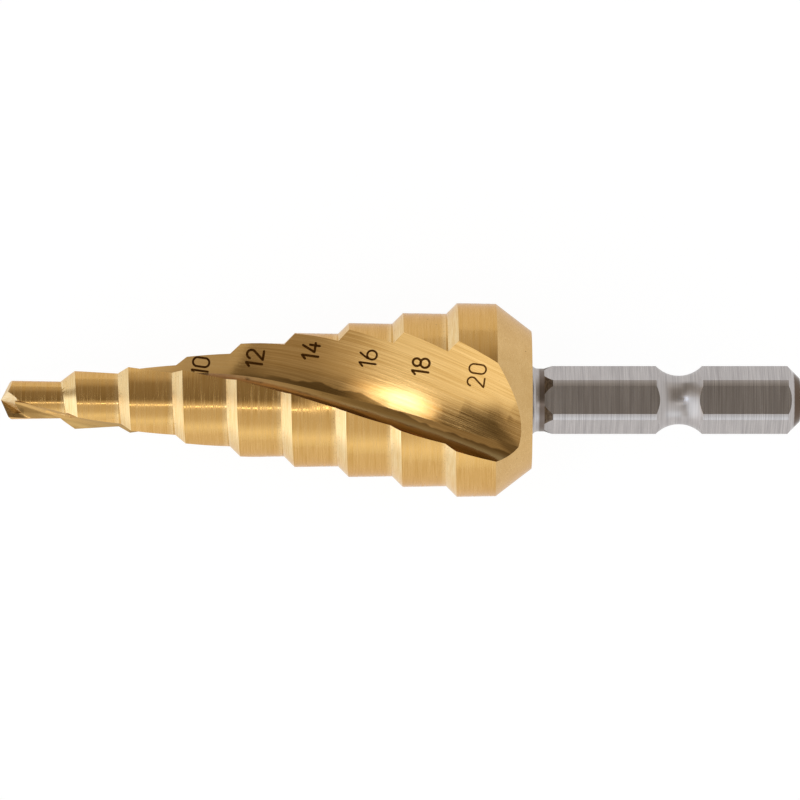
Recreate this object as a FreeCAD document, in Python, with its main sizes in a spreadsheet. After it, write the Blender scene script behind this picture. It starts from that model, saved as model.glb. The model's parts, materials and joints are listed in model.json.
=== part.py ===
import FreeCAD, Part
import math
import os
import Sketcher
from FreeCAD import Placement, Rotation, Vector

# Step drill, ground from one bar. It is modelled along +Z, the tip at the origin, and laid down at the end.
# Angles round the drill are counted from +X towards +Y, so a right-hand flute turns up as it climbs.

os.makedirs("parts", exist_ok=True)
doc = FreeCAD.newDocument("step_drill")

# Driving dimensions, in millimetres and degrees

sheet = doc.addObject("Spreadsheet::Sheet", "Sizes")
sizes = {
    "pilot_diameter": 4.0,
    "diameter_rise": 2.0,
    "step_total": 8,
    "first_corner": 7.58,
    "step_pitch": 5.57,
    "step_chamfer_angle": 45.0,
    "first_chamfer_angle": 37.5,
    "back_taper": 1.0,
    "land_eccentricity": 0.08,
    "chamfer_eccentricity": 0.26,
    "relief_lead_angle": 32.5,
    "last_land_length": 3.95,
    "back_cone_length": 3.84,
    "rear_face_diameter": 14.1,
    "point_angle": 135.0,
    "lip_relief_angle": 24.0,
    "gash_drop_angle": 55.0,
    "gash_lean_angle": 19.0,
    "flute_lead_at_tip": 52.3,
    "flute_lead_growth": 2.99,
    "last_edge_turn": 31.5,
    "web_at_tip": 0.3,
    "web_taper": 0.088,
    "web_growth": 0.0011,
    "gullet_crease": 20.0,
    "flute_angle_tip": 80.0,
    "flute_angle_body": 113.0,
    "flute_opens_from": 3.0,
    "flute_opens_until": 25.0,
    "rake_tip": -10.0,
    "rake_body": 20.0,
    "rake_turns_from": 20.0,
    "rake_turns_until": 37.0,
    "neck_diameter": 6.45,
    "neck_fillet": 0.65,
    "neck_length": 1.3,
    "runout_length": 0.85,
    "shank_length": 27.46,
    "hex_across_flats": 6.35,
    "hex_corner_diameter": 6.97,
    "groove_from_end": 12.36,
    "groove_diameter": 4.97,
    "groove_radius": 3.3,
    "end_chamfer": 1.25,
    "rest_tilt": 4.73,
    "rest_roll": 1.7,
}
for row, (name, value) in enumerate(sizes.items(), start=1):
    sheet.set(f"A{row}", name)
    sheet.set(f"B{row}", str(value))
    sheet.setAlias(f"B{row}", name)
doc.recompute()


def size(name):
    return float(sheet.get(name))


# Places and radii, as expressions of the sheet and as numbers

rise = "(Sizes.diameter_rise / 2)"
last_radius = f"(Sizes.pilot_diameter / 2 + Sizes.step_total * {rise})"
last_corner = "(Sizes.first_corner + (Sizes.step_total - 1) * Sizes.step_pitch)"
land_end = f"({last_corner} + Sizes.last_land_length)"
rear_face = f"({land_end} + Sizes.back_cone_length)"
shank_end = f"({rear_face} + Sizes.shank_length)"


def value_of(expression):
    return float(sheet.evalExpression(expression))


tip_lead = size("flute_lead_at_tip")
lead_growth = size("flute_lead_growth")
edge_height = value_of(last_corner)
edge_radius = value_of(last_radius)
envelope_slope = value_of(f"{rise} / Sizes.step_pitch")


def envelope_radius(height):
    # the cone that touches the corner of every step
    return edge_radius - envelope_slope * (edge_height - height)


def height_on_envelope(radius):
    return edge_height - (edge_radius - radius) / envelope_slope


def edge_turn(height):
    # the lead grows evenly along the drill, so the helix angle stays nearly the same as the drill widens
    lead_ratio = (tip_lead + lead_growth * height) / (tip_lead + lead_growth * edge_height)
    return size("last_edge_turn") + 360 / lead_growth * math.log(lead_ratio)


def along(turn, reach=1.0, height=0.0):
    angle = math.radians(turn)
    return Vector(reach * math.cos(angle), reach * math.sin(angle), height)


# Relieved steps
# Each land and each chamfer is half of a cone whose axis stands a little off the drill's own, so that
# the surface falls away behind the cutting edge. Two such halves, half a turn apart, make a step.

root_overlap = 0.8  # how far a step starts inside the one before, as a share of its rise
back_slope = "(-tan(Sizes.back_taper))"


def half_cone(name, start, end, radius, level, slope, offset, turn):
    # the cone has this radius at this level, and its axis stands off by the offset
    cone = doc.addObject("Part::Cone", name)
    cone.Angle = 180
    cone.Placement = Placement(along(turn, value_of(offset)), Rotation(Vector(0, 0, 1), turn))
    cone.setExpression("Placement.Base.z", start)
    cone.setExpression("Height", f"{end} - {start}")
    cone.setExpression("Radius1", f"{radius} + {slope} * ({start} - {level})")
    cone.setExpression("Radius2", f"{radius} + {slope} * ({end} - {level})")
    return cone


def common(name, members):
    both = doc.addObject("Part::MultiCommon", name)
    both.Shapes = members
    return both


def step_half(number, side):
    corner = f"(Sizes.first_corner + {number - 1} * Sizes.step_pitch)"
    radius = f"(Sizes.pilot_diameter / 2 + {number} * {rise})"
    chamfer = "first_chamfer_angle" if number == 1 else "step_chamfer_angle"
    chamfer_slope = f"tan(Sizes.{chamfer})"
    start = f"({corner} - {rise} / {chamfer_slope} - {root_overlap} * {rise})"
    last = number == step_total
    end = rear_face if last else f"({corner} + Sizes.step_pitch)"
    turn = edge_turn(value_of(corner)) - size("relief_lead_angle") + side
    tag = f"{round(2 * value_of(radius))}_{side}"
    members = []
    for name, slope in (("land", back_slope), ("chamfer", chamfer_slope)):
        offset = f"Sizes.{name}_eccentricity"
        edge = f"({radius} - {offset} * cos(Sizes.relief_lead_angle))"
        title = f"{name.capitalize()}_{tag}"
        members.append(half_cone(title, start, end, edge, corner, slope, offset, turn))
    if last:
        cone_slope = f"(Sizes.rear_face_diameter / 2 - {last_radius}) / Sizes.back_cone_length"
        members.append(half_cone(f"Back_{tag}", start, end, last_radius, land_end, cone_slope, "0", turn))
    return common(f"Step_{tag}", members)


# Pilot and split point
# Each half of the pilot is trimmed by the relief plane behind its lip and by the gash that thins the web.

block_width = 8  # the trimming blocks, as shares of the last step's radius
block_height = 4
point_slope = value_of("1 / tan(Sizes.point_angle / 2)")
relief_slope = value_of("tan(Sizes.lip_relief_angle)")
gash_slope = value_of("tan(Sizes.gash_drop_angle)")
gash_lean = value_of("tan(Sizes.gash_lean_angle)")
lip_turn = edge_turn(size("pilot_diameter") / 2 * point_slope)


def above_plane(name, slope_out, slope_behind, turn):
    # a block that stands on the plane through the tip, with its slopes along and behind the lip
    normal = Vector(0, 0, 1) - along(turn, slope_out) - along(turn + 90, slope_behind)
    tilt = Rotation(Vector(0, 0, 1), normal)
    block = doc.addObject("Part::Box", name)
    block.setExpression("Length", f"{block_width} * {last_radius}")
    block.setExpression("Width", f"{block_width} * {last_radius}")
    block.setExpression("Height", f"{block_height} * {last_radius}")
    half_width = block_width * edge_radius / 2
    block.Placement = Placement(tilt.multVec(Vector(-half_width, -half_width, 0)), tilt)
    return block


def pilot_half(side):
    turn = lip_turn + side
    offset = f"(Sizes.land_eccentricity * Sizes.pilot_diameter / 2 / {last_radius})"
    edge = f"(Sizes.pilot_diameter / 2 - {offset})"
    land = half_cone(f"Pilot_{side}", "0", "Sizes.first_corner", edge, "0", back_slope, offset, turn)
    flank = above_plane(f"Flank_{side}", point_slope, relief_slope, turn)
    gash = above_plane(f"Gash_{side}", -gash_slope, gash_lean, turn)
    return common(f"Point_{side}", [land, flank, gash])


step_total = int(size("step_total"))
halves = []
for side in (0, 180):
    halves.append(pilot_half(side))
    for number in range(1, step_total + 1):
        halves.append(step_half(number, side))
steps = doc.addObject("Part::MultiFuse", "Steps")
steps.Shapes = halves


# Flutes
# A flute is lofted through sections set evenly round its turn. Each section has a straight heel face at a
# set distance from the axis, a round gullet, and a rake face that meets the envelope at the cutting edge.

flute_run_out = 2.0  # how far the flutes run past the tip and the rear face, in millimetres
flute_spans = 18
overshoot = 0.2 * edge_radius  # how far a section stands out of the blank
rake_lead = 0.04  # the rake face's arc starts this far outside the cutting edge, as a share of its radius
outer_share = 1.5  # the section's outermost corner, as a share of that reach


def eased(height, start, end, first, second):
    share = min(max((height - start) / (end - start), 0), 1)
    return first + (second - first) * share * share * (3 - 2 * share)


def flute_section(height):
    radius = envelope_radius(height)
    turn = edge_turn(height)
    heel_angle = math.radians(eased(height, size("flute_opens_from"), size("flute_opens_until"),
                                    size("flute_angle_tip"), size("flute_angle_body")))
    rake = math.radians(eased(height, size("rake_turns_from"), size("rake_turns_until"),
                              size("rake_tip"), size("rake_body")))
    web = size("web_at_tip") + size("web_taper") * height + size("web_growth") * height ** 2
    outward = along(turn)
    sideways = along(turn - 90)

    def across(angle):
        # a direction in the section, counted from the cutting edge towards the flute
        return outward * math.cos(angle) + sideways * math.sin(angle)

    heel_normal = across(heel_angle - math.pi / 2)
    crease = math.radians(size("gullet_crease"))
    depth = radius * (math.sin(heel_angle) + rake_lead * math.sin(heel_angle - rake)) - web
    gullet = depth / (math.cos(crease) - math.cos(math.pi - heel_angle + rake))
    edge = (outward + across(rake) * rake_lead) * radius + Vector(0, 0, height)
    centre = edge + across(rake + math.pi / 2) * gullet
    to_valley = across(heel_angle - math.pi / 2 + crease)
    valley = centre - to_valley * gullet
    bottom = centre - (across(rake + math.pi / 2) + to_valley).normalize() * gullet
    heel_run = math.sqrt((radius + overshoot) ** 2 - web ** 2) - valley.dot(across(heel_angle))
    heel = valley + across(heel_angle) * heel_run
    lead = edge + across(rake) * overshoot
    middle = across(heel_angle / 2) * (outer_share * (radius + overshoot)) + Vector(0, 0, height)
    return Part.Wire([
        Part.Arc(edge, bottom, valley).toShape(),
        Part.makeLine(valley, heel),
        Part.makeLine(heel, middle),
        Part.makeLine(middle, lead),
        Part.makeLine(lead, edge),
    ])


first_reach = envelope_radius(-flute_run_out / 2)
last_reach = envelope_radius(value_of(rear_face) + flute_run_out)
reach_ratio = (last_reach / first_reach) ** (1 / flute_spans)
flute_heights = [height_on_envelope(first_reach * reach_ratio ** index) for index in range(flute_spans + 1)]
flute_shape = Part.makeLoft([flute_section(height) for height in flute_heights], True, False)
flutes = []
for side in (0, 180):
    flute = doc.addObject("Part::Feature", f"Flute_{side}")
    flute.Shape = flute_shape
    flute.Placement = Placement(Vector(), Rotation(Vector(0, 0, 1), side))
    flutes.append(flute)


# Shank
# A turned profile from the rear face to the end, with the hexagon's flats cut out of it.

neck_radius = size("neck_diameter") / 2
neck_fillet = size("neck_fillet")
hex_corner = size("hex_corner_diameter") / 2
rear = value_of(rear_face)
end = value_of(shank_end)
neck_end = rear + size("neck_length")
hex_start = neck_end + size("runout_length")
groove_height = end - size("groove_from_end")
groove_centre = size("groove_diameter") / 2 + size("groove_radius")
groove_half = math.sqrt(size("groove_radius") ** 2 - (groove_centre - hex_corner) ** 2)
end_chamfer = size("end_chamfer")
shank_root = rear - 2 * neck_fillet


def attached_sketch(body, name, role):
    plane = next(feature for feature in body.Origin.OriginFeatures if feature.Role == role)
    sketch = body.newObject("Sketcher::SketchObject", name)
    sketch.AttachmentSupport = [(plane, "")]
    sketch.MapMode = "FlatFace"
    return sketch


def bind(sketch, expression, kind, *where):
    # a dimension of the sketch that follows the sheet
    index = sketch.addConstraint(Sketcher.Constraint(kind, *where))
    sketch.setExpression(f"Constraints[{index}]", expression)


shank = doc.addObject("PartDesign::Body", "Shank")
profile = attached_sketch(shank, "ShankProfile", "XZ_Plane")


def draw_line(start, finish):
    return profile.addGeometry(Part.LineSegment(Vector(*start, 0), Vector(*finish, 0)), False)


def draw_arc(start, middle, finish):
    return profile.addGeometry(Part.Arc(Vector(*start, 0), Vector(*middle, 0), Vector(*finish, 0)), False)


fillet_outer = neck_radius + neck_fillet
fillet_middle = neck_fillet * (1 - math.sqrt(0.5))
root = draw_line((0, shank_root), (fillet_outer, shank_root))
side = draw_line((fillet_outer, shank_root), (fillet_outer, rear))
fillet = draw_arc((fillet_outer, rear), (neck_radius + fillet_middle, rear + fillet_middle),
                  (neck_radius, rear + neck_fillet))
neck = draw_line((neck_radius, rear + neck_fillet), (neck_radius, neck_end))
runout = draw_line((neck_radius, neck_end), (hex_corner, hex_start))
front = draw_line((hex_corner, hex_start), (hex_corner, groove_height - groove_half))
groove = draw_arc((hex_corner, groove_height - groove_half), (size("groove_diameter") / 2, groove_height),
                  (hex_corner, groove_height + groove_half))
back = draw_line((hex_corner, groove_height + groove_half), (hex_corner, end - end_chamfer))
chamfer = draw_line((hex_corner, end - end_chamfer), (hex_corner - end_chamfer, end))
face = draw_line((hex_corner - end_chamfer, end), (0, end))
axis = draw_line((0, end), (0, shank_root))

# joined end to end; an arc drawn clockwise has its first end last
corners = [(root, 2, side, 1), (side, 2, fillet, 2), (fillet, 1, neck, 1), (neck, 2, runout, 1),
          (runout, 2, front, 1), (front, 2, groove, 2), (groove, 1, back, 1), (back, 2, chamfer, 1),
          (chamfer, 2, face, 1), (face, 2, axis, 1), (axis, 2, root, 1)]
for first, first_end, second, second_end in corners:
    profile.addConstraint(Sketcher.Constraint("Coincident", first, first_end, second, second_end))
for level in (root, face):
    profile.addConstraint(Sketcher.Constraint("Horizontal", level))
for upright in (side, neck, front, back):
    profile.addConstraint(Sketcher.Constraint("Vertical", upright))
profile.addConstraint(Sketcher.Constraint("PointOnObject", root, 1, -2))
profile.addConstraint(Sketcher.Constraint("PointOnObject", face, 2, -2))
profile.addConstraint(Sketcher.Constraint("Vertical", fillet, 3, side, 2))
profile.addConstraint(Sketcher.Constraint("Horizontal", fillet, 3, neck, 1))
profile.addConstraint(Sketcher.Constraint("Vertical", groove, 1, groove, 2))
bind(profile, f"{rear_face} - 2 * Sizes.neck_fillet", "DistanceY", root, 1, shank_root)
bind(profile, rear_face, "DistanceY", side, 2, rear)
bind(profile, "Sizes.neck_fillet", "Radius", fillet, neck_fillet)
bind(profile, "Sizes.neck_diameter / 2", "DistanceX", neck, 1, neck_radius)
bind(profile, f"{rear_face} + Sizes.neck_length", "DistanceY", neck, 2, neck_end)
bind(profile, f"{rear_face} + Sizes.neck_length + Sizes.runout_length", "DistanceY", front, 1, hex_start)
bind(profile, "Sizes.hex_corner_diameter / 2", "DistanceX", front, 1, hex_corner)
bind(profile, f"{shank_end} - Sizes.groove_from_end", "DistanceY", groove, 3, groove_height)
bind(profile, "Sizes.groove_diameter / 2 + Sizes.groove_radius", "DistanceX", groove, 3, groove_centre)
bind(profile, "Sizes.groove_radius", "Radius", groove, size("groove_radius"))
bind(profile, f"{shank_end} - Sizes.end_chamfer", "DistanceY", back, 2, end - end_chamfer)
bind(profile, shank_end, "DistanceY", face, 1, end)
bind(profile, "Sizes.hex_corner_diameter / 2 - Sizes.end_chamfer", "DistanceX", face, 1,
     hex_corner - end_chamfer)

turned = shank.newObject("PartDesign::Revolution", "ShankTurned")
turned.Profile = profile
turned.ReferenceAxis = (profile, ["V_Axis"])
turned.Angle = 360

flats = attached_sketch(shank, "ShankFlats", "XY_Plane")
flats.AttachmentOffset = Placement(Vector(0, 0, neck_end), Rotation())
flats.setExpression("AttachmentOffset.Base.z", f"{rear_face} + Sizes.neck_length")
half_flats = size("hex_across_flats") / 2
corner_reach = half_flats / math.cos(math.pi / 6)
hex_points = [along(60 * index + 30, corner_reach) for index in range(6)]
hex_sides = [flats.addGeometry(Part.LineSegment(hex_points[index - 1], hex_points[index]), False)
             for index in range(6)]
circle = flats.addGeometry(Part.Circle(Vector(), Vector(0, 0, 1), corner_reach), True)
stock_radius = 2 * hex_corner  # well clear of the corners
stock = flats.addGeometry(Part.Circle(Vector(), Vector(0, 0, 1), stock_radius), False)
for index in range(6):
    flats.addConstraint(Sketcher.Constraint("Coincident", hex_sides[index - 1], 2, hex_sides[index], 1))
    flats.addConstraint(Sketcher.Constraint("PointOnObject", hex_sides[index], 1, circle))
for index in range(1, 6):
    flats.addConstraint(Sketcher.Constraint("Equal", hex_sides[0], hex_sides[index]))
for ring in (circle, stock):
    flats.addConstraint(Sketcher.Constraint("Coincident", ring, 3, -1, 1))
flats.addConstraint(Sketcher.Constraint("Vertical", hex_sides[0]))
bind(flats, "Sizes.hex_across_flats / 2", "DistanceX", hex_sides[0], 1, half_flats)
bind(flats, "Sizes.hex_corner_diameter", "Radius", stock, stock_radius)

ground = shank.newObject("PartDesign::Pocket", "ShankGround")
ground.Profile = flats
ground.Type = "ThroughAll"
ground.Reversed = True
doc.recompute()

# One piece, laid down
# The drill rests on its steps with a flute underneath, the tip low and the shank high.

blank = doc.addObject("Part::MultiFuse", "Blank")
blank.Shapes = [steps, shank]
drill = blank
for flute in flutes:
    cut = doc.addObject("Part::Cut", f"Fluted_{flute.Name}")
    cut.Base = drill
    cut.Tool = flute
    drill = cut
drill.Label = "step_drill"
doc.recompute()

tilt = math.radians(size("rest_tilt"))
axis = Vector(math.cos(tilt), 0, math.sin(tilt))
up = Vector(-math.sin(tilt), 0, math.cos(tilt))
turned_up = Rotation(up, Vector(0, -1, 0), axis, "ZXY")
lying = turned_up * Rotation(Vector(0, 0, 1), size("rest_roll"))
drill.Placement = Placement(Vector(), lying)
box = drill.Shape.optimalBoundingBox(False, False)
drill.Placement = Placement(Vector(-box.Center.x, -box.Center.y, -box.ZMin), lying)
doc.recompute()

for feature in doc.Objects:
    if "Invalid" in feature.State or "Error" in feature.State:
        raise RuntimeError(f"{feature.Name} failed: {feature.State}")
if drill.Shape.isNull() or not drill.Shape.isValid() or len(drill.Shape.Solids) != 1:
    raise RuntimeError("the drill isn't one sound solid")
print(f"{drill.Label}: {drill.Shape.Volume:.1f} mm3, {len(drill.Shape.Faces)} faces, {drill.Shape.BoundBox}")
drill.Shape.exportStep(f"parts/{drill.Label}.step")
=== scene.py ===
import json
import math

import bpy
from mathutils import Matrix, Vector

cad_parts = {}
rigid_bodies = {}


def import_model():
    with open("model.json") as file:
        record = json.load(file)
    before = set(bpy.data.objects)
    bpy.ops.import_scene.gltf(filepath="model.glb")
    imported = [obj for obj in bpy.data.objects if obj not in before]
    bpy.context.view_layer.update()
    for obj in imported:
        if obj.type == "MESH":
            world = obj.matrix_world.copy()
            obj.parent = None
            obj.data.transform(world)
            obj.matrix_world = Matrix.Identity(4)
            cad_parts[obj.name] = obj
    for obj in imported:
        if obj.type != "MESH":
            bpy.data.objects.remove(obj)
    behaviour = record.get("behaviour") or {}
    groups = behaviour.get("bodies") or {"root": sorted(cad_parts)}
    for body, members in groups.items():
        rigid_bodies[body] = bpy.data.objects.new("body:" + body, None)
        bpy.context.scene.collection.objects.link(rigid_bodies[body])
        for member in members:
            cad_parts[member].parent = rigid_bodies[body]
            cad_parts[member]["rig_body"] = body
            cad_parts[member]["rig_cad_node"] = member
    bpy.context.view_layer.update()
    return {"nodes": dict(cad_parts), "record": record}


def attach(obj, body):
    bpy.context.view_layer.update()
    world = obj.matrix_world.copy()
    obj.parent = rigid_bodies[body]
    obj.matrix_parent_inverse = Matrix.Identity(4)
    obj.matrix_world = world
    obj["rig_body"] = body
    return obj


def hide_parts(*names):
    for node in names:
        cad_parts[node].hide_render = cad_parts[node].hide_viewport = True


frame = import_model()
mm = 0.001

# The way the photographer looked at the drill. Lengths are millimetres.
photo = {
    "leanDegrees": 1.7,      # the view leans this far round the drill's axis
    "shownWidth": 81.97,
    "centreFromTip": 40.90,
    "lens": 300,
    "sensor": 36,
    "clip": (0.01, 10),      # metres
}

# The drill's own directions. A point on it is given as (from the tip, up in the picture, towards the viewer).
mounts = {mount["name"]: mount for mount in frame["record"]["mounts"]}
shankEnd = Vector(mounts["shank_end"]["pos_m"]) / mm
axis = Vector(mounts["shank_end"]["axis"]).normalized()
cadMesh = frame["nodes"]["step_drill"].data
drillLength = max(axis.dot(shankEnd - vertex.co / mm) for vertex in cadMesh.vertices)
tip = shankEnd - axis * drillLength
lean = math.radians(photo["leanDegrees"])
above = Vector((-axis.z, 0, axis.x))
toViewer = (above * math.cos(lean) - Vector((0, 1, 0)) * math.sin(lean)).normalized()
pictureUp = toViewer.cross(axis).normalized()
toDrill = Matrix((axis, pictureUp, toViewer))
print("drill length", round(drillLength, 2), "mm")


def onDrill(point):
    return toDrill @ (point / mm - tip)


def inFrame(place):
    return (tip + toDrill.transposed() @ place) * mm


# Shapes that the finishes follow, in millimetres and degrees
drill = {
    "pilotRadius": 2.0,
    "rise": 1.0,
    "firstCorner": 7.58,
    "pitch": 5.57,
    "lastCorner": 46.57,
    "landEnd": 50.52,
    "rearFace": 54.36,
    "hexFrom": 56.51,
    "hexInside": 3.175,      # radius of the round that fits inside the hexagon
    "neckEnd": 55.66,
    "leadAtTip": 52.3,       # the flutes' lead, and how it grows along the drill
    "leadGrowth": 2.99,
    "lastTurn": 31.5,
}


def landRadius(along):
    if along < drill["firstCorner"]:
        return drill["pilotRadius"]
    step = min(math.floor((along - drill["firstCorner"]) / drill["pitch"]) + 1, 8)
    return drill["pilotRadius"] + drill["rise"] * step


# Node helpers

def fillInputs(tree, made, inputs):
    # a socket is linked, and anything else is set as the input's own value
    for name, value in inputs.items():
        if isinstance(value, bpy.types.NodeSocket):
            tree.links.new(value, made.inputs[name])
        else:
            made.inputs[name].default_value = value


def addNode(tree, kind, inputs=None, **settings):
    made = tree.nodes.new("ShaderNode" + kind)
    for name, value in settings.items():
        setattr(made, name, value)
    fillInputs(tree, made, inputs or {})
    return made


def maths(tree, operation, first, second=0.0, third=0.0):
    made = addNode(tree, "Math", {0: first, 1: second, 2: third}, operation=operation)
    return made.outputs[0]


def remap(tree, value, low, high, first, second):
    # first up to low, second from high on, and evenly from one to the other between them
    made = addNode(tree, "MapRange", {"Value": value, "From Min": low, "From Max": high, "To Min": first,
                                      "To Max": second}, clamp=True)
    return made.outputs["Result"]


def ramp(tree, value, low, high):
    return remap(tree, value, low, high, 0.0, 1.0)


def between(tree, share, first, second):
    # from the first value to the second as the share goes from 0 to 1
    made = addNode(tree, "Mix", {0: share, 2: first, 3: second}, data_type="FLOAT")
    return made.outputs[0]


def blendColour(tree, share, first, second):
    made = addNode(tree, "Mix", {0: share, 6: first, 7: second}, data_type="RGBA")
    return made.outputs[2]


def newGroup(name, inputs, outputs):
    tree = bpy.data.node_groups.new(name, "ShaderNodeTree")
    for socketName, kind, value in inputs:
        socket = tree.interface.new_socket(socketName, in_out="INPUT", socket_type="NodeSocket" + kind)
        if value is not None:
            socket.default_value = value
    for socketName, kind in outputs:
        tree.interface.new_socket(socketName, in_out="OUTPUT", socket_type="NodeSocket" + kind)
    return tree, tree.nodes.new("NodeGroupInput"), tree.nodes.new("NodeGroupOutput")


def useGroup(tree, group, inputs=None):
    made = tree.nodes.new("ShaderNodeGroup")
    made.node_tree = group
    fillInputs(tree, made, inputs or {})
    return made


# Where a point lies on the drill, in millimetres: as it is, and wound back along the flutes
def makePlaceGroup():
    tree, _, out = newGroup("placeOnDrill", [], [("Place", "Vector"), ("Wound", "Vector"),
                                                 ("Along", "Float"), ("Radius", "Float")])
    coordinates = addNode(tree, "TexCoord")
    mapping = addNode(tree, "Mapping", {"Vector": coordinates.outputs["Object"]}, vector_type="POINT")
    mapping.inputs["Scale"].default_value = (1 / mm, 1 / mm, 1 / mm)
    mapping.inputs["Rotation"].default_value = toDrill.to_euler("XYZ")
    mapping.inputs["Location"].default_value = -(toDrill @ tip)
    place = mapping.outputs["Vector"]
    parts = addNode(tree, "SeparateXYZ", {"Vector": place})
    along = parts.outputs["X"]
    radius = maths(tree, "SQRT", maths(tree, "ADD", maths(tree, "POWER", parts.outputs["Y"], 2.0),
                                       maths(tree, "POWER", parts.outputs["Z"], 2.0)))
    growth = drill["leadGrowth"]
    lastLead = drill["leadAtTip"] + growth * drill["lastCorner"]
    leadShare = maths(tree, "MULTIPLY_ADD", along, growth / lastLead, drill["leadAtTip"] / lastLead)
    logarithm = maths(tree, "LOGARITHM", leadShare, math.e)
    turn = maths(tree, "MULTIPLY_ADD", logarithm, -2 * math.pi / growth, -math.radians(drill["lastTurn"]))
    wound = addNode(tree, "VectorRotate", {"Vector": place, "Angle": turn}, rotation_type="X_AXIS")
    tree.links.new(place, out.inputs["Place"])
    tree.links.new(wound.outputs["Vector"], out.inputs["Wound"])
    tree.links.new(along, out.inputs["Along"])
    tree.links.new(radius, out.inputs["Radius"])
    return tree


# Fine lines left by a tool, with broader streaks under them
def makeLinesGroup():
    even = (1.0, 1.0, 1.0)
    tree, given, out = newGroup(
        "toolLines",
        [("Vector", "Vector", None), ("Lines", "Vector", even), ("Streaks", "Vector", even)],
        [("Lines", "Float"), ("Streaks", "Float")])
    for name, detail, roughness in (("Lines", 3.0, 0.65), ("Streaks", 2.0, 0.5)):
        scaled = addNode(tree, "VectorMath", {0: given.outputs["Vector"], 1: given.outputs[name]},
                         operation="MULTIPLY")
        noise = addNode(tree, "TexNoise", {"Vector": scaled.outputs[0], "Scale": 1.0, "Detail": detail,
                                           "Roughness": roughness})
        tree.links.new(noise.outputs["Fac"], out.inputs[name])
    return tree


# Small pits and specks, scattered over the surface
def makeSpecksGroup():
    tree, given, out = newGroup(
        "specks",
        [("Vector", "Vector", None), ("Scale", "Float", 1.0), ("Size", "Float", 0.1),
         ("Share", "Float", 0.3)],
        [("Mask", "Float")])
    scaled = addNode(tree, "VectorMath", {0: given.outputs["Vector"], "Scale": given.outputs["Scale"]},
                     operation="SCALE")
    cells = addNode(tree, "TexVoronoi", {"Vector": scaled.outputs[0], "Scale": 1.0, "Randomness": 1.0})
    near = maths(tree, "LESS_THAN", cells.outputs["Distance"], given.outputs["Size"])
    draw = addNode(tree, "SeparateColor", {"Color": cells.outputs["Color"]}).outputs[0]
    chosen = maths(tree, "LESS_THAN", draw, given.outputs["Share"])
    tree.links.new(maths(tree, "MULTIPLY", near, chosen), out.inputs["Mask"])
    return tree


placeGroup = makePlaceGroup()
linesGroup = makeLinesGroup()
specksGroup = makeSpecksGroup()


# The coating's finishes. The chamfer and flank golds are lighter copies of the coating as painted highlight,
# and the lip gold a darker copy as painted shade. Lines and streaks are counts to a millimetre. In the frame
# Place they go along the drill, up in the picture and towards the viewer, and in the frame Flute along a
# flute and across it.
goldLooks = {
    "turnedGold": {
        "frame": "Place",
        "lines": (8.5, 0.25, 0.25),
        "streaks": (1.6, 0.12, 0.12),
        "lineShare": 0.8,
        "lineDepth": 0.0013,
        "roughness": (0.05, 0.32),
        "deep": (0.64, 0.360, 0.098, 1),
        "pale": (0.80, 0.495, 0.184, 1),
        "rootSpecks": 0.7,
        # painted highlight where each step starts, in place of a rounded root
        "rootHighlightColour": (0.93, 0.66, 0.32, 1),
    },
    # painted highlight: a lighter copy of the coating's colour, for the chamfers
    "chamferLitGold": {
        "frame": "Place",
        "lines": (12.0, 0.4, 0.4),
        "streaks": (3.0, 0.2, 0.2),
        "lineShare": 0.7,
        "lineDepth": 0.0014,
        "roughness": (0.12, 0.24),
        "deep": (0.84, 0.55, 0.22, 1),
        "pale": (1.0, 0.80, 0.46, 1),
        "rootSpecks": 0.5,
    },
    "satinGold": {
        "frame": "Place",
        "lines": (9.0, 2.0, 2.0),
        "streaks": (0.5, 0.5, 0.5),
        "lineShare": 0.6,
        "lineDepth": 0.0010,
        "roughness": (0.20, 0.28),
        "deep": (0.66, 0.415, 0.165, 1),
        "pale": (0.77, 0.515, 0.230, 1),
    },
    # painted highlight: a lighter copy of the coating's colour, for the point's flanks
    "flankLitGold": {
        "frame": "Place",
        "lines": (2.0, 12.0, 2.0),
        "streaks": (1.0, 4.0, 1.0),
        "lineShare": 0.7,
        "lineDepth": 0.0014,
        "roughness": (0.34, 0.48),
        "deep": (0.84, 0.60, 0.30, 1),
        "pale": (1.0, 0.84, 0.56, 1),
    },
    # painted shade: a darker copy of the coating's colour, for the lips' cutting faces
    "lipShadedGold": {
        "frame": "Place",
        "lines": (3.0, 9.0, 3.0),
        "streaks": (1.0, 1.0, 1.0),
        "lineShare": 0.7,
        "lineDepth": 0.0010,
        "roughness": (0.16, 0.28),
        "deep": (0.30, 0.170, 0.055, 1),
        "pale": (0.48, 0.300, 0.110, 1),
    },
    "groundGold": {
        "frame": "Flute",
        "lines": (0.12, 12.0, 1.0),
        "streaks": (0.08, 3.0, 1.0),
        "lineShare": 0.7,
        "lineDepth": 0.0016,
        "roughness": (0.08, 0.22),
        "deep": (0.54, 0.290, 0.072, 1),
        "pale": (0.88, 0.56, 0.220, 1),
        # painted shade: the dark colour of the band along each gullet
        "gullet": (0.23, 0.125, 0.034, 1),
        # painted shade: the darker colour past the valley, on the cutting face
        "wallShade": (0.31, 0.22, 0.10, 1),
        # painted shade: darker stretches near the tip and on the number face, each from where it rises to
        # where it falls, with its share and colour
        "paintedShades": (
            ((-2.0, -1.0), (12.0, 6.0), 0.8, (0.54, 0.325, 0.11, 1)),
            ((13.0, 19.0), (28.0, 23.0), 0.75, (0.33, 0.190, 0.062, 1)),
        ),
    },
}

rimTint = (0.96, 0.87, 0.78, 1)     # the coating's colour where it is seen edge on

# The noise of the lines lies mostly between these
toneSpan = (0.33, 0.67)
lineSpan = (0.35, 0.65)

# Pits all over the coating
specks = {
    "scale": 1.1,
    "size": 0.06,
    "share": 0.12,
    "shown": 0.75,
    "depth": 2.0,
    "colour": (0.10, 0.05, 0.02, 1),
}

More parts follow.
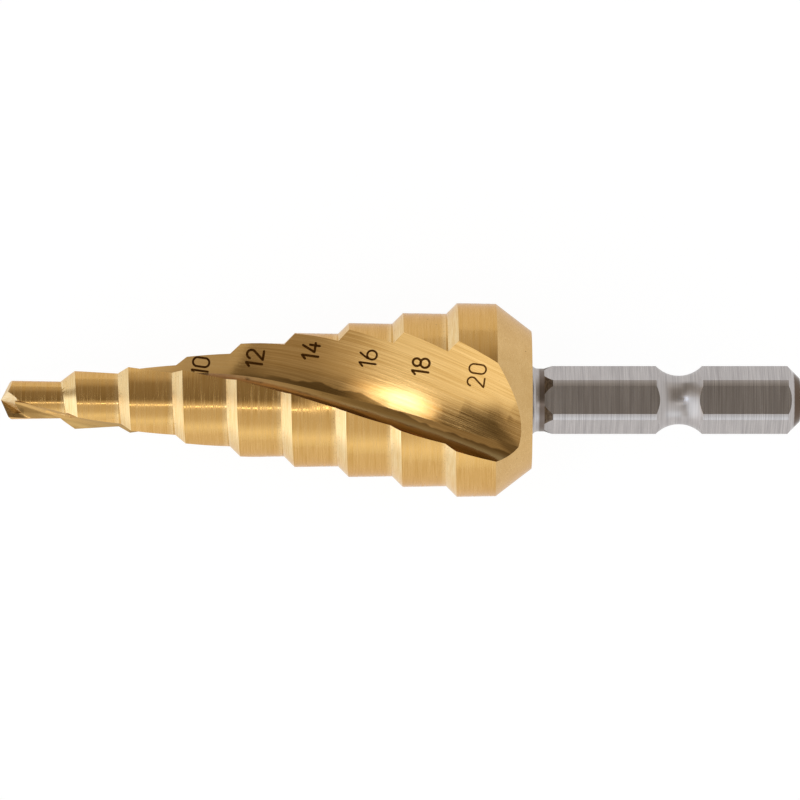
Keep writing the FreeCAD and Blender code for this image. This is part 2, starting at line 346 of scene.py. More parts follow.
# Fine grains, and a pale rim painted as highlight in place of a rounded root, where each step starts. A step
# starts this far before its corner, and they reach this far in front of there, in millimetres.
grains = {
    "before": 0.6,
    "reach": 1.6,
    "scale": 7.0,
    "size": 0.30,
    "share": 0.30,
    "colour": (0.20, 0.10, 0.03, 1),
}
rootHighlight = {"before": 1.0, "reach": 0.55, "shown": 0.75}

# The grinding lines lean this far from the heel face, so that the cutting face has them too, and fall this
# much faster than the flute
grinding = {"leanDegrees": 25.0, "fall": 0.24}

# The painted shade along each gullet: a dark band where the curved gullet looks dark, in millimetres. A line
# on the heel face is given by how far out it lies at one place along the drill, and its slope.
gullet = {
    "heelDegrees": 113.0,      # the heel face, round from the cutting edge
    "valleyAt": 30.0,
    "valleyRun": -0.28,
    "valleySlope": -0.093,
    "fadesIn": (22.0, 31.0),
    "narrows": (36.0, 44.0),
    "wide": 0.60,
    "narrow": -0.70,
    "shareNearTip": 0.65,
    "softNearTip": 0.9,
    "softBehind": 0.14,
    "waveLength": 2.4,
    "waveHeight": 0.7,
    "wallFrom": (14.0, 20.0),
    "wallShade": (-0.8, -1.3),      # painted shade past the valley, where the cutting face begins
    "underPale": 0.78,         # how much of the painted shade is left over the palest lines
    "streakAt": 48.5,          # a second painted dark streak, where the flute runs out
    "streakRun": -0.80,
    "streakSlope": -0.10,
    "streakWidens": (44.5, 50.5),
    "streakWide": (0.40, 1.25),
    "streakSoft": (1.0, 0.45),    # from its edge to where it is whole, as shares of its width
    "streakFrom": (48.5, 50.5),
    "streakShare": 0.70,
    "exitAt": 50.6,            # past here it falls away faster
    "exitSlope": -0.7,
}


def newMaterial(name):
    material = bpy.data.materials.new(name)
    material.use_nodes = True
    tree = material.node_tree
    shader = tree.nodes["Principled BSDF"]
    shader.inputs["Metallic"].default_value = 1.0
    return material, tree, shader


def addBump(tree, shader, height, depth):
    bump = addNode(tree, "Bump", {"Height": height, "Distance": depth * mm, "Strength": 1.0})
    tree.links.new(bump.outputs["Normal"], shader.inputs["Normal"])


def outAlong(tree, place, degrees):
    # how far out a point lies in the direction at these degrees from the cutting edge
    wound = addNode(tree, "SeparateXYZ", {"Vector": place.outputs["Wound"]})
    angle = math.radians(degrees)
    sideways = maths(tree, "MULTIPLY", wound.outputs["Y"], math.sin(angle))
    return maths(tree, "MULTIPLY_ADD", wound.outputs["Z"], math.cos(angle), sideways)


def lineOnHeel(tree, along, at, run, slope):
    return maths(tree, "MULTIPLY_ADD", along, slope, run - slope * at)


def gulletShadeBand(tree, along, run, valley, waves):
    # painted shade: 1 from a wavy edge beside the valley inwards
    edge = maths(tree, "ADD", remap(tree, along, *gullet["narrows"], gullet["wide"], gullet["narrow"]), waves)
    past = maths(tree, "SUBTRACT", maths(tree, "ADD", valley, edge), run)
    soft = remap(tree, along, *gullet["fadesIn"], gullet["softNearTip"], gullet["softBehind"])
    inside = ramp(tree, maths(tree, "ADD", maths(tree, "DIVIDE", past, soft), 0.5), 0.0, 1.0)
    share = remap(tree, along, *gullet["fadesIn"], gullet["shareNearTip"], 1.0)
    return maths(tree, "MULTIPLY", inside, share)


# a painted dark streak on the heel face, where the flute runs out
def exitStreak(tree, along, run, waves):
    middle = lineOnHeel(tree, along, gullet["streakAt"], gullet["streakRun"], gullet["streakSlope"])
    pastExit = maths(tree, "MAXIMUM", maths(tree, "SUBTRACT", along, gullet["exitAt"]), 0.0)
    middle = maths(tree, "MULTIPLY_ADD", pastExit, gullet["exitSlope"], middle)
    off = maths(tree, "ABSOLUTE", maths(tree, "SUBTRACT", maths(tree, "ADD", run, waves), middle))
    wide = remap(tree, along, *gullet["streakWidens"], *gullet["streakWide"])
    inside = ramp(tree, maths(tree, "DIVIDE", off, wide), *gullet["streakSoft"])
    share = maths(tree, "MULTIPLY", ramp(tree, along, *gullet["streakFrom"]), gullet["streakShare"])
    return maths(tree, "MULTIPLY", inside, share)


def gulletMasks(tree, place):
    # painted shade: where either flute gets the dark gullet band or the dark streak where it runs out, and
    # where that is the wall past the valley
    along = place.outputs["Along"]
    over = outAlong(tree, place, gullet["heelDegrees"] - 90)
    run = maths(tree, "MULTIPLY", outAlong(tree, place, gullet["heelDegrees"]), maths(tree, "SIGN", over))
    valley = lineOnHeel(tree, along, gullet["valleyAt"], gullet["valleyRun"], gullet["valleySlope"])
    noise = addNode(tree, "TexNoise", {"W": maths(tree, "DIVIDE", along, gullet["waveLength"]), "Scale": 1.0,
                                       "Detail": 2.5, "Roughness": 0.45}, noise_dimensions="1D")
    waves = maths(tree, "MULTIPLY", maths(tree, "SUBTRACT", noise.outputs["Fac"], 0.5), gullet["waveHeight"])
    band = gulletShadeBand(tree, along, run, valley, waves)
    shaded = maths(tree, "MAXIMUM", band, exitStreak(tree, along, run, waves))
    wallShade = ramp(tree, maths(tree, "SUBTRACT", run, valley), *gullet["wallShade"])
    onWall = maths(tree, "MULTIPLY", wallShade, ramp(tree, along, *gullet["wallFrom"]))
    return maths(tree, "MAXIMUM", shaded, onWall), wallShade


def shadeFlute(tree, place, look, tone, colour):
    # painted shade: the dark gullet band, the dark wall past the valley, and the darker stretches that lie
    # along the flute
    mask, wallShade = gulletMasks(tree, place)
    shaded = maths(tree, "MULTIPLY", mask, remap(tree, tone, 0.0, 1.0, 1.0, gullet["underPale"]))
    colour = blendColour(tree, shaded, colour, blendColour(tree, wallShade, look["gullet"], look["wallShade"]))
    for rises, falls, share, shade in look["paintedShades"]:
        inside = maths(tree, "MULTIPLY", ramp(tree, place.outputs["Along"], *rises),
                       ramp(tree, place.outputs["Along"], *falls))
        colour = blendColour(tree, maths(tree, "MULTIPLY", inside, share), colour, shade)
    return colour


def nearRoot(tree, place, mark):
    # 1 where the next step starts, falling to 0 at the mark's reach in front of there
    along = place.outputs["Along"]
    fromFirst = maths(tree, "SUBTRACT", along, drill["firstCorner"] - mark["before"])
    steps = maths(tree, "DIVIDE", fromFirst, drill["pitch"])
    left = maths(tree, "SUBTRACT", 1.0, maths(tree, "FRACT", steps))
    near = ramp(tree, left, mark["reach"] / drill["pitch"], 0.0)
    return maths(tree, "MULTIPLY", near, maths(tree, "LESS_THAN", along, drill["lastCorner"]))


def scattered(tree, place, kind):
    dots = useGroup(tree, specksGroup, {"Vector": place.outputs["Place"], "Scale": kind["scale"],
                                        "Size": kind["size"], "Share": kind["share"]})
    return dots.outputs["Mask"]


def alongFlute(tree, place):
    # grinding lines keep to one height beside the heel face, all the way along
    across = outAlong(tree, place, gullet["heelDegrees"] + grinding["leanDegrees"])
    across = maths(tree, "MULTIPLY_ADD", place.outputs["Along"], grinding["fall"], across)
    return addNode(tree, "CombineXYZ", {"X": place.outputs["Along"], "Y": across}).outputs["Vector"]


def makeGold(name):
    look = goldLooks[name]
    material, tree, shader = newMaterial(name)
    place = useGroup(tree, placeGroup)
    vector = alongFlute(tree, place) if look["frame"] == "Flute" else place.outputs["Place"]
    lines = useGroup(tree, linesGroup, {"Vector": vector, "Lines": look["lines"], "Streaks": look["streaks"]})
    mixed = between(tree, look["lineShare"], lines.outputs["Streaks"], lines.outputs["Lines"])
    tone = ramp(tree, mixed, *toneSpan)
    colour = blendColour(tree, tone, look["deep"], look["pale"])
    # painted shade along the gullets and the flute
    if "gullet" in look:
        colour = shadeFlute(tree, place, look, tone, colour)
    if "rootHighlightColour" in look:
        # painted highlight near each step's root
        shown = maths(tree, "MULTIPLY", nearRoot(tree, place, rootHighlight), rootHighlight["shown"])
        colour = blendColour(tree, shown, colour, look["rootHighlightColour"])
    if "rootSpecks" in look:
        dots = maths(tree, "MULTIPLY", nearRoot(tree, place, grains), scattered(tree, place, grains))
        shown = maths(tree, "MULTIPLY", dots, look["rootSpecks"])
        colour = blendColour(tree, shown, colour, grains["colour"])
    pits = scattered(tree, place, specks)
    colour = blendColour(tree, maths(tree, "MULTIPLY", pits, specks["shown"]), colour, specks["colour"])
    tree.links.new(colour, shader.inputs["Base Color"])
    roughness = remap(tree, lines.outputs["Lines"], *lineSpan, *look["roughness"])
    tree.links.new(roughness, shader.inputs["Roughness"])
    shader.inputs["Specular Tint"].default_value = rimTint
    height = maths(tree, "SUBTRACT", lines.outputs["Lines"], maths(tree, "MULTIPLY", pits, specks["depth"]))
    addBump(tree, shader, height, look["lineDepth"])
    return material


steelLooks = {
    "groundSteel": {
        "lines": (16.0, 0.12, 0.12),
        "streaks": (2.2, 0.15, 0.15),
        "lineShare": 0.75,
        "lineDepth": 0.0012,
        "roughness": 0.17,
        "roughnessSpread": 0.12,
        "dark": (0.37, 0.345, 0.343, 1),
        "pale": (0.60, 0.565, 0.555, 1),
    },
    "turnedSteel": {
        "lines": (7.0, 0.12, 0.12),
        "streaks": (2.2, 0.15, 0.15),
        "lineShare": 0.75,
        "lineDepth": 0.0008,
        "roughness": 0.31,
        "roughnessSpread": 0.12,
        "dark": (0.40, 0.375, 0.372, 1),
        "pale": (0.58, 0.545, 0.535, 1),
    },
}

# Where the bare steel is painted brown, in millimetres: browner on the end chamfer, and as painted shade on
# the neck before the run-out
brownAndShade = {
    "brown": (0.13, 0.09, 0.065, 1),
    "faceSoft": 0.02,
    "endChamfer": 1.25,
    "chamferSoft": 0.05,
    "endRadius": 2.95,         # only inside this radius on the end chamfer
    "radiusSoft": 0.12,
    "neckFrom": (55.02, 55.20),
    "neckShare": 0.80,
}


def brownAndShadeMask(tree, place):
    along = place.outputs["Along"]
    fromEnd = maths(tree, "SUBTRACT", drillLength, along)
    offFace = ramp(tree, fromEnd, 0.0, brownAndShade["faceSoft"])
    onChamfer = ramp(tree, fromEnd, brownAndShade["endChamfer"] + brownAndShade["chamferSoft"], brownAndShade["endChamfer"])
    inside = ramp(tree, place.outputs["Radius"], brownAndShade["endRadius"], brownAndShade["endRadius"] - brownAndShade["radiusSoft"])
    atEnd = maths(tree, "MULTIPLY", maths(tree, "MULTIPLY", offFace, onChamfer), inside)
    # painted shade on the neck before the run-out
    onNeck = maths(tree, "MULTIPLY", ramp(tree, along, *brownAndShade["neckFrom"]),
                   maths(tree, "LESS_THAN", along, drill["neckEnd"]))
    return maths(tree, "MAXIMUM", atEnd, maths(tree, "MULTIPLY", onNeck, brownAndShade["neckShare"]))


def makeSteel(name):
    look = steelLooks[name]
    material, tree, shader = newMaterial(name)
    place = useGroup(tree, placeGroup)
    lines = useGroup(tree, linesGroup, {"Vector": place.outputs["Place"], "Lines": look["lines"],
                                        "Streaks": look["streaks"]})
    mixed = between(tree, look["lineShare"], lines.outputs["Streaks"], lines.outputs["Lines"])
    colour = blendColour(tree, ramp(tree, mixed, *lineSpan), look["dark"], look["pale"])
    # painted brown on the end chamfer and painted shade on the neck
    colour = blendColour(tree, brownAndShadeMask(tree, place), colour, brownAndShade["brown"])
    tree.links.new(colour, shader.inputs["Base Color"])
    spread = look["roughnessSpread"]
    roughness = maths(tree, "MULTIPLY_ADD", lines.outputs["Streaks"], spread, look["roughness"] - spread / 2)
    tree.links.new(roughness, shader.inputs["Roughness"])
    addBump(tree, shader, lines.outputs["Lines"], look["lineDepth"])
    return material


# painted shade: the short run-out before the hexagon is painted near black, where its scooped faces look dark
runoutShadeLook = {
    "lines": (6.0, 2.0, 2.0),
    "dark": (0.095, 0.082, 0.075, 1),
    "pale": (0.23, 0.205, 0.19, 1),
    "roughness": 0.42,
}

# The size numbers, which pale towards the shank
markLook = {
    "lines": (1.5, 9.0, 9.0),
    "lineShare": 0.5,
    "palesOver": (38.0, 50.0),
    "palesBy": 0.6,
    "dark": (0.040, 0.012, 0.002, 1),
    "pale": (0.150, 0.062, 0.010, 1),
    "roughness": 0.8,
}


def makeRunoutShadeSteel():
    look = runoutShadeLook
    material, tree, shader = newMaterial("runoutShadeSteel")
    place = useGroup(tree, placeGroup)
    lines = useGroup(tree, linesGroup, {"Vector": place.outputs["Place"], "Lines": look["lines"]})
    tone = ramp(tree, lines.outputs["Lines"], *lineSpan)
    tree.links.new(blendColour(tree, tone, look["dark"], look["pale"]), shader.inputs["Base Color"])
    shader.inputs["Roughness"].default_value = look["roughness"]
    return material


def makeMark():
    look = markLook
    material, tree, shader = newMaterial("burntMark")
    shader.inputs["Metallic"].default_value = 0.0
    place = useGroup(tree, placeGroup)
    lines = useGroup(tree, linesGroup, {"Vector": place.outputs["Wound"], "Lines": look["lines"]})
    paled = remap(tree, place.outputs["Along"], *look["palesOver"], 0.0, look["palesBy"])
    mottled = ramp(tree, lines.outputs["Lines"], *lineSpan)
    tone = maths(tree, "MULTIPLY_ADD", mottled, look["lineShare"], paled)
    tree.links.new(blendColour(tree, tone, look["dark"], look["pale"]), shader.inputs["Base Color"])
    shader.inputs["Roughness"].default_value = look["roughness"]
    shader.inputs["Specular IOR Level"].default_value = 0.0
    return material


golds = [makeGold(name) for name in goldLooks]
steels = [makeSteel(name) for name in steelLooks]
materials = golds + steels + [makeRunoutShadeSteel()]
turned, chamfered, satin, flank, lip, groundFlute, steel, turnedSteel, runoutShadeSteel = range(len(materials))


def deselectAll():
    bpy.ops.object.select_all(action="DESELECT")


# The drill itself: the solid's own surface, merged and smoothed, with a finish for each way it was ground;
# the chamfers and flanks get lighter copies of the coating as painted highlight, the lips a darker copy as
# painted shade.
# A lean is how much a face's normal points along the drill.
surface = {
    "mergeWithin": 0.002,
    "smoothUnder": 15.0,       # degrees
    "margin": 0.02,            # millimetres either side of the rear face, and inside the flats
    "rearLean": 0.9,
    "runoutLean": 0.15,
    "grooveLean": 0.03,
    "chamferLean": 0.4,
    "lipLean": 0.1,
    "pointUntil": 2.4,
    "pointRadius": 1.85,
    "fluteTilt": 0.13,         # how far a ground face's normal tilts sideways
    "fluteOutward": 0.1,       # or how little it points away from the axis
    "fluteDepth": 0.45,        # or how far it lies under the land, if it leans less than this
    "fluteLean": 0.5,
}


def finishOfShank(place, lean, radius):
    # painted shade on the run-out's scooped faces
    if drill["neckEnd"] < place.x < drill["hexFrom"] and lean < -surface["runoutLean"]:
        return runoutShadeSteel
    inGroove = abs(lean) > surface["grooveLean"] or radius < drill["hexInside"] - surface["margin"]
    onLathe = place.x < drill["neckEnd"] or inGroove and place.x < drillLength - brownAndShade["endChamfer"]
    return turnedSteel if onLathe else steel


def finishOf(polygon):
    place = onDrill(polygon.center)
    normal = toDrill @ polygon.normal
    lean = normal.x
    radius = math.hypot(place.y, place.z)
    if place.x > drill["rearFace"] + surface["margin"]:
        return finishOfShank(place, lean, radius)
    if radius < 1e-6:
        return groundFlute
    if place.x < surface["pointUntil"] and radius < surface["pointRadius"]:
        if lean < -surface["chamferLean"]:
            return flank
        if abs(lean) < surface["lipLean"]:
            return lip
    sideways = (normal.z * place.y - normal.y * place.z) / radius
    outward = (normal.y * place.y + normal.z * place.z) / radius
    if place.x > drill["rearFace"] - surface["margin"] and lean > surface["rearLean"]:
        return satin
    if abs(sideways) > surface["fluteTilt"] or outward < surface["fluteOutward"]:
        return groundFlute
    if radius < landRadius(place.x) - surface["fluteDepth"] and abs(lean) < surface["fluteLean"]:
        return groundFlute
    if place.x > drill["landEnd"]:
        return satin
    return chamfered if lean < -surface["chamferLean"] else turned


def roundPilot(mesh):
    # the pilot's triangles are long and thin, so its normals are turned outwards from the axis
    normals = [corner.vector.copy() for corner in mesh.corner_normals]
    for polygon in mesh.polygons:
        if polygon.material_index != turned or onDrill(polygon.center).x > drill["firstCorner"]:
            continue
        for corner in polygon.loop_indices:
            place = onDrill(mesh.vertices[mesh.loops[corner].vertex_index].co)
            normals[corner] = toDrill.transposed() @ Vector((0, place.y, place.z)).normalized()
    mesh.normals_split_custom_set(normals)


def makeDrill():
    source = frame["nodes"]["step_drill"]
    deselectAll()
    source.select_set(True)
    bpy.context.view_layer.objects.active = source
    bpy.ops.object.duplicate()
    piece = bpy.context.object
    piece.name = "ground_drill"
    piece.parent = None
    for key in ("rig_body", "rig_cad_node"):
        if key in piece:
            del piece[key]
    piece.data.materials.clear()
    for material in materials:
        piece.data.materials.append(material)
    bpy.ops.object.mode_set(mode="EDIT")
    bpy.ops.mesh.select_all(action="SELECT")
    bpy.ops.mesh.customdata_custom_splitnormals_clear()
    bpy.ops.mesh.remove_doubles(threshold=surface["mergeWithin"] * mm)
    bpy.ops.mesh.normals_make_consistent(inside=False)
    bpy.ops.object.mode_set(mode="OBJECT")
    for polygon in piece.data.polygons:
        polygon.material_index = finishOf(polygon)
    bpy.ops.object.shade_smooth_by_angle(angle=math.radians(surface["smoothUnder"]))
    roundPilot(piece.data)
    return piece


drillPiece = makeDrill()
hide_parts("step_drill")
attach(drillPiece, "root")
print("drill", len(drillPiece.data.polygons), "faces")


# Size numbers burnt into one flute, read upwards in the picture, the digits' tops towards the tip
numbers = {
    "height": 1.70,
    "width": 0.92,
    "gap": 0.42,
    "lift": 0.006,
    "slantDegrees": 8.0,
    "spacing": 0.06,           # millimetres between the points of a stroke
    "arcDegrees": 9,           # between the points of an arc
    "capParts": 6,
    "mergeWithin": 0.0005,
    "dropFrom": 30.0,          # millimetres in front of the axis, clear of the drill
    "narrow": {"1": 0.38},     # digits that are narrower than the others
    "places": {                # along the drill, up in the picture, and the stroke's width
        "10": (20.45, 3.50, 0.22),
        "12": (26.03, 4.26, 0.25),
        "14": (31.78, 5.01, 0.25),
        "16": (37.65, 4.24, 0.21),
        "18": (43.00, 3.40, 0.24),
        "20": (48.67, 2.48, 0.18),
    },
}


def arc(centre, radii, start, stop):
    # points round an ellipse, in degrees from the right, counter-clockwise
    count = max(3, round(abs(stop - start) / numbers["arcDegrees"]))
    points = []
    for index in range(count + 1):
        angle = math.radians(start + (stop - start) * index / count)
        points.append((centre[0] + radii[0] * math.cos(angle), centre[1] + radii[1] * math.sin(angle)))
    return points


# Strokes of the digits, in a box one wide and one high
digits = {
    "0": [arc((0.5, 0.73), (0.5, 0.27), 0, 180) + arc((0.5, 0.27), (0.5, 0.27), 180, 360) + [(1.0, 0.73)]],
    "1": [[(0.0, 0.78), (0.38, 1.0), (0.38, 0.0)]],
    "2": [arc((0.5, 0.73), (0.48, 0.27), 165, -35) + [(0.02, 0.0), (1.0, 0.0)]],
    "4": [[(0.62, 1.0), (0.0, 0.26), (1.02, 0.26)], [(0.76, 0.58), (0.76, 0.0)]],
    "6": [arc((0.5, 0.29), (0.5, 0.29), 0, 360), [(0.03, 0.38), (0.12, 0.58), (0.60, 1.0)]],
    "8": [arc((0.5, 0.27), (0.5, 0.27), -90, 270), arc((0.5, 0.76), (0.42, 0.24), -90, 270)],
}


def strokePoints(line, scale):
    # the same line with points at an even, close spacing
    points = [Vector((x * scale[0], y * scale[1])) for x, y in line]
    even = [points[0]]
    for first, second in zip(points, points[1:]):
        count = max(1, round((second - first).length / numbers["spacing"]))
        even += [first.lerp(second, index / count) for index in range(1, count + 1)]
    return even


def strokeRibbon(points, half):
    # left and right edges of a stroke, and a round end at each end of an open one
    closed = (points[0] - points[-1]).length < numbers["spacing"] / 2
    if closed:
        points = points[:-1]
    vertices, faces = [], []
    total = len(points)
    for index, point in enumerate(points):
        before = points[index - 1] if closed or index else point
        after = points[(index + 1) % total] if closed or index < total - 1 else point
        direction = (after - before).normalized()
        across = Vector((-direction.y, direction.x)) * half
        vertices += [point + across, point, point - across]
    for index in range(total if closed else total - 1):
        here, there = 3 * index, 3 * ((index + 1) % total)
        for edge in (0, 1):
            faces.append((here + edge, here + edge + 1, there + edge + 1, there + edge))
    parts = numbers["capParts"]
    if not closed:
        for end, inner in ((0, 1), (total - 1, total - 2)):
            outward = (points[end] - points[inner]).normalized()
            across = Vector((-outward.y, outward.x))
            cap = [3 * end + 1]
            for step in range(parts + 1):
                angle = math.radians(90 - 180 * step / parts)
                vertices.append(points[end] + (outward * math.cos(angle) + across * math.sin(angle)) * half)
                cap.append(len(vertices) - 1)
            faces += [(cap[0], cap[step + 1], cap[step + 2]) for step in range(parts)]
    return vertices, faces


def makeNumber(text, place):
    scale = (numbers["width"], numbers["height"])
    widths = [numbers["narrow"].get(digit, 1.0) * scale[0] for digit in text]
    total = sum(widths) + numbers["gap"] * (len(text) - 1)
    vertices, faces = [], []
    start = -total / 2
    for digit, width in zip(text, widths):
        for line in digits[digit]:
            flat, quads = strokeRibbon(strokePoints(line, scale), place[2] / 2)
            first = len(vertices)
            vertices += [point + Vector((start, -scale[1] / 2)) for point in flat]
            faces += [tuple(first + corner for corner in quad) for quad in quads]
        start += width + numbers["gap"]
    slant = math.radians(numbers["slantDegrees"])
    laid, ground = [], []
    for point in vertices:
        right = point.x * math.sin(slant) - point.y * math.cos(slant)
        rise = point.x * math.cos(slant) + point.y * math.sin(slant)
        spot, onFlute = layOnDrill(place[0] + right, place[1] + rise)
        laid.append(spot)
        ground.append(onFlute)
    faces = [face for face in faces if all(ground[corner] for corner in face)]
    mesh = bpy.data.meshes.new(f"number_{text}")
    mesh.from_pydata(laid, [], faces)
    mesh.update()
    return mesh


def layOnDrill(along, rise):
    # the spot just over the surface, seen from the viewer, and whether it is on a ground flute
    high = inFrame(Vector((along, rise, numbers["dropFrom"])))
    found, spot, normal, face = drillPiece.ray_cast(high, -toViewer)
    if not found:
        raise RuntimeError(f"no surface under {along}, {rise}")
    onFlute = drillPiece.data.polygons[face].material_index == groundFlute
    return spot + normal * numbers["lift"] * mm, onFlute


markMaterial = makeMark()
for text, place in numbers["places"].items():
    piece = bpy.data.objects.new(f"number_{text}", makeNumber(text, place))
    bpy.context.collection.objects.link(piece)
    deselectAll()
    piece.select_set(True)
    bpy.context.view_layer.objects.active = piece
    bpy.ops.object.mode_set(mode="EDIT")
    bpy.ops.mesh.select_all(action="SELECT")
    bpy.ops.mesh.delete_loose()
    bpy.ops.mesh.remove_doubles(threshold=numbers["mergeWithin"] * mm)
    bpy.ops.object.mode_set(mode="OBJECT")
    piece.data.materials.append(markMaterial)
    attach(piece, "root")
print("numbers", len(numbers["places"]))


# Studio: a pale floor, a room, one narrow softbox and a long lens looking down.
# The room's brightness goes by direction: degrees round the drill from the viewer, towards the picture's
# bottom. It has one part over the whole drill, a darker one towards the tip and a bright one past that.
studio = {
    "floorSize": 4.0,
    "floorColour": (0.94, 0.94, 0.94, 1),
    "floorRoughness": 0.9,
    "floorShown": 0.90,        # share of the floor that shows plain white
    "floorShine": 1.05,        # how bright that white is
    "floorMirrored": 0.50,     # the share and how bright it is, seen in the metal
    "mirroredShine": 1.14,
    # a brighter corner of the floor that only the metal sees, in millimetres
    "card": {"along": (-22, -40), "across": (-6, -16), "brightness": 1.28},
    "overhead": ((-90, 0.74), (-70, 0.64), (-50, 0.34), (2, 0.26), (13, 0.78), (50, 0.86), (70, 1.32),
                 (90, 1.0)),
    "screen": ((-90, 0.28), (-10, 0.24), (12, 0.17), (33, 0.17), (46, 0.50), (75, 0.60), (90, 0.80)),
    "overTip": ((-90, 0.40), (-50, 0.40), (-30, 0.65), (-10, 1.05), (30, 1.35), (90, 1.35)),
    "overShank": 0.88,
    # how far a direction leans to the tip, or to the shank, where a part starts and where it is whole
    "screenFrom": (0.05, 0.12),
    "overTipFrom": (0.345, 0.43),
    "overShankFrom": (0.55, 0.80),
    "glow": {
        "rises": (-32, -8),
        "falls": (14, 1),
        "towardsTip": 0.34,
        "halfWidth": 0.085,
        "sharpness": 1.8,
        "brightness": 9.0,
    },
    "glowTint": (0.41, 0.65, 1.0, 1),
    "warm": (1.0, 0.88, 0.74, 1),
    "cool": (0.93, 0.97, 1.0, 1),
    "coolFrom": (0.3, 1.1),    # the brightness where warm starts to cool, and where it is all cool
}


def makeFloor():
    bpy.ops.mesh.primitive_plane_add(size=studio["floorSize"], location=(0, 0, 0))
    floor = bpy.context.object
    floor.name = "floor"
    material = bpy.data.materials.new("paleFloor")
    material.use_nodes = True
    tree = material.node_tree
    shader = tree.nodes["Principled BSDF"]
    shader.inputs["Base Color"].default_value = studio["floorColour"]
    shader.inputs["Roughness"].default_value = studio["floorRoughness"]
    glow = addNode(tree, "Emission", {"Color": (1, 1, 1, 1), "Strength": 1.0})
    lightPath = tree.nodes.new("ShaderNodeLightPath")
    shown = maths(tree, "MULTIPLY", lightPath.outputs["Is Camera Ray"], studio["floorShown"])
    card = studio["card"]
    spot = addNode(tree, "SeparateXYZ", {"Vector": tree.nodes.new("ShaderNodeTexCoord").outputs["Object"]})
    onCard = maths(tree, "MULTIPLY", ramp(tree, spot.outputs["X"], *[edge * mm for edge in card["along"]]),
                   ramp(tree, spot.outputs["Y"], *[edge * mm for edge in card["across"]]))
    isGlossy = lightPath.outputs["Is Glossy Ray"]
    inMetal = between(tree, onCard, studio["mirroredShine"], card["brightness"])
    tree.links.new(between(tree, isGlossy, studio["floorShine"], inMetal), glow.inputs["Strength"])
    mirrored = maths(tree, "MULTIPLY", isGlossy, between(tree, onCard, studio["floorMirrored"], 1.0))
    mixed = addNode(tree, "MixShader", {0: maths(tree, "MAXIMUM", shown, mirrored)})
    tree.links.new(shader.outputs["BSDF"], mixed.inputs[1])
    tree.links.new(glow.outputs["Emission"], mixed.inputs[2])
    tree.links.new(mixed.outputs["Shader"], tree.nodes["Material Output"].inputs["Surface"])
    floor.data.materials.append(material)
    return floor


def brightnessRound(tree, share, stops):
    # a ramp through brightness stops, each at its angle; the ramp holds up to 1, so it is scaled
    most = max(brightness for _, brightness in stops)
    made = addNode(tree, "ValToRGB", {"Fac": share})
    elements = made.color_ramp.elements
    while len(elements) < len(stops):
        elements.new(0.5)
    for element, (angle, brightness) in zip(elements, stops):
        element.position = angle / 360 + 0.5
        element.color = (brightness / most, brightness / most, brightness / most, 1)
    return maths(tree, "MULTIPLY", made.outputs["Color"], most)


def seenAt(angle, towardsTip):
    # the direction at these degrees round the drill and towards its tip, in the drill's own directions
    angle, towardsTip = math.radians(angle), math.radians(towardsTip)
    return Vector((-math.sin(towardsTip), -math.cos(towardsTip) * math.sin(angle),
                   math.cos(towardsTip) * math.cos(angle)))


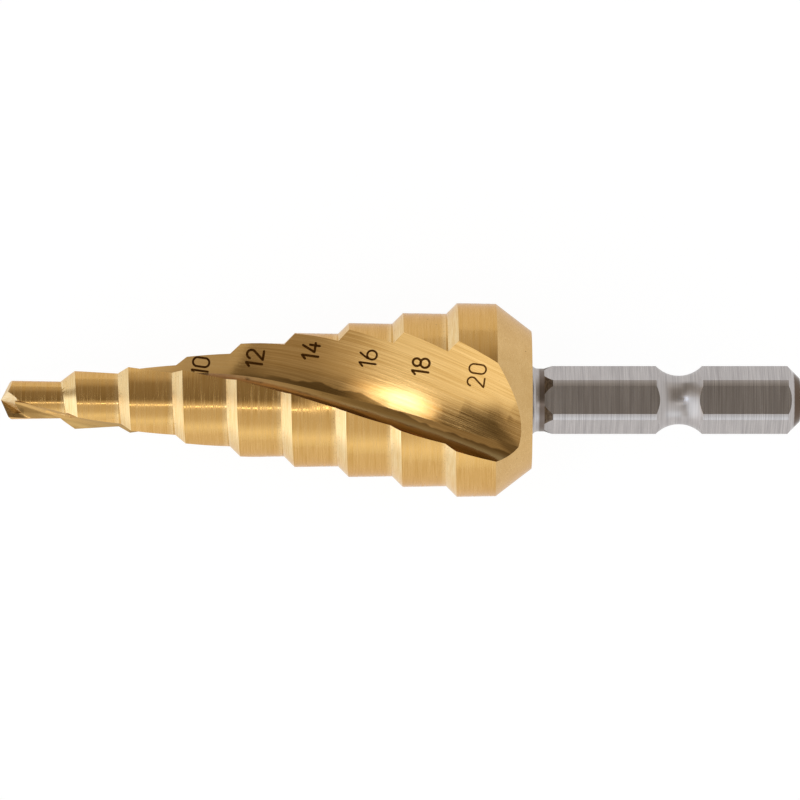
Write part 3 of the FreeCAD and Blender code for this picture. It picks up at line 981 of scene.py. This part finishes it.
def makeWorld():
    world = bpy.data.worlds.new("studio")
    bpy.context.scene.world = world
    world.use_nodes = True
    tree = world.node_tree
    background = tree.nodes["Background"]
    lightPath = tree.nodes.new("ShaderNodeLightPath")
    mapping = addNode(tree, "Mapping", {"Vector": tree.nodes.new("ShaderNodeTexCoord").outputs["Generated"]},
                      vector_type="POINT")
    mapping.inputs["Rotation"].default_value = toDrill.to_euler("XYZ")
    direction = addNode(tree, "SeparateXYZ", {"Vector": mapping.outputs["Vector"]})
    down = maths(tree, "MULTIPLY", direction.outputs["Y"], -1.0)
    angle = maths(tree, "ARCTAN2", down, direction.outputs["Z"])
    share = maths(tree, "MULTIPLY_ADD", angle, 1 / math.tau, 0.5)
    strength = brightnessRound(tree, share, studio["overhead"])
    towardsTip = maths(tree, "MULTIPLY", direction.outputs["X"], -1.0)
    for side in ("screen", "overTip"):
        reached = ramp(tree, towardsTip, *studio[side + "From"])
        strength = between(tree, reached, strength, brightnessRound(tree, share, studio[side]))
    reached = ramp(tree, direction.outputs["X"], *studio["overShankFrom"])
    strength = between(tree, reached, strength, studio["overShank"])
    glow = studio["glow"]
    fromMiddle = maths(tree, "ABSOLUTE", maths(tree, "SUBTRACT", towardsTip, glow["towardsTip"]))
    facing = ramp(tree, fromMiddle, glow["halfWidth"], 0.0)
    for name in ("rises", "falls"):
        first, last = (math.radians(degrees) for degrees in glow[name])
        facing = maths(tree, "MULTIPLY", facing, ramp(tree, angle, first, last))
    facing = maths(tree, "POWER", facing, glow["sharpness"])
    tint = blendColour(tree, ramp(tree, strength, *studio["coolFrom"]), studio["warm"], studio["cool"])
    tint = blendColour(tree, facing, tint, studio["glowTint"])
    strength = maths(tree, "MULTIPLY_ADD", facing, glow["brightness"], strength)
    isCamera = lightPath.outputs["Is Camera Ray"]
    tree.links.new(blendColour(tree, isCamera, tint, (1, 1, 1, 1)), background.inputs["Color"])
    tree.links.new(between(tree, isCamera, strength, 1.0), background.inputs["Strength"])


# The softbox: degrees from the viewer towards the picture's bottom, and towards the tip. Lengths are metres.
stripBox = {
    "angle": 17.5,
    "lean": 0,
    "distance": 0.62,
    "width": 0.022,
    "length": 0.30,
    "brightness": 3.4,
}


def makeStripBox():
    box = stripBox
    direction = toDrill.transposed() @ seenAt(box["angle"], box["lean"])
    middle = inFrame(Vector((photo["centreFromTip"], 0, 0)))
    spot = middle + direction * box["distance"]
    data = bpy.data.lights.new("stripBox", "AREA")
    data.shape = "RECTANGLE"
    data.size = box["length"]
    data.size_y = box["width"]
    data.energy = box["brightness"] * math.pi * box["length"] * box["width"]
    light = bpy.data.objects.new("stripBox", data)
    bpy.context.collection.objects.link(light)
    beam = direction.normalized()
    across = Vector((1, 0, 0))
    other = beam.cross(across).normalized()
    light.matrix_world = Matrix.Translation(spot) @ Matrix((across, other, beam)).transposed().to_4x4()


def makeCamera():
    data = bpy.data.cameras.new("camera")
    data.lens = photo["lens"]
    data.sensor_width = photo["sensor"]
    data.clip_start, data.clip_end = photo["clip"]
    distance = photo["shownWidth"] * photo["lens"] / photo["sensor"]
    camera = bpy.data.objects.new("camera", data)
    bpy.context.collection.objects.link(camera)
    spot = inFrame(Vector((photo["centreFromTip"], 0, distance)))
    camera.matrix_world = Matrix.Translation(spot) @ toDrill.transposed().to_4x4()
    bpy.context.scene.camera = camera


makeFloor()
makeWorld()
makeStripBox()
makeCamera()
bpy.context.scene.view_settings.view_transform = "Standard"
print("studio ready")
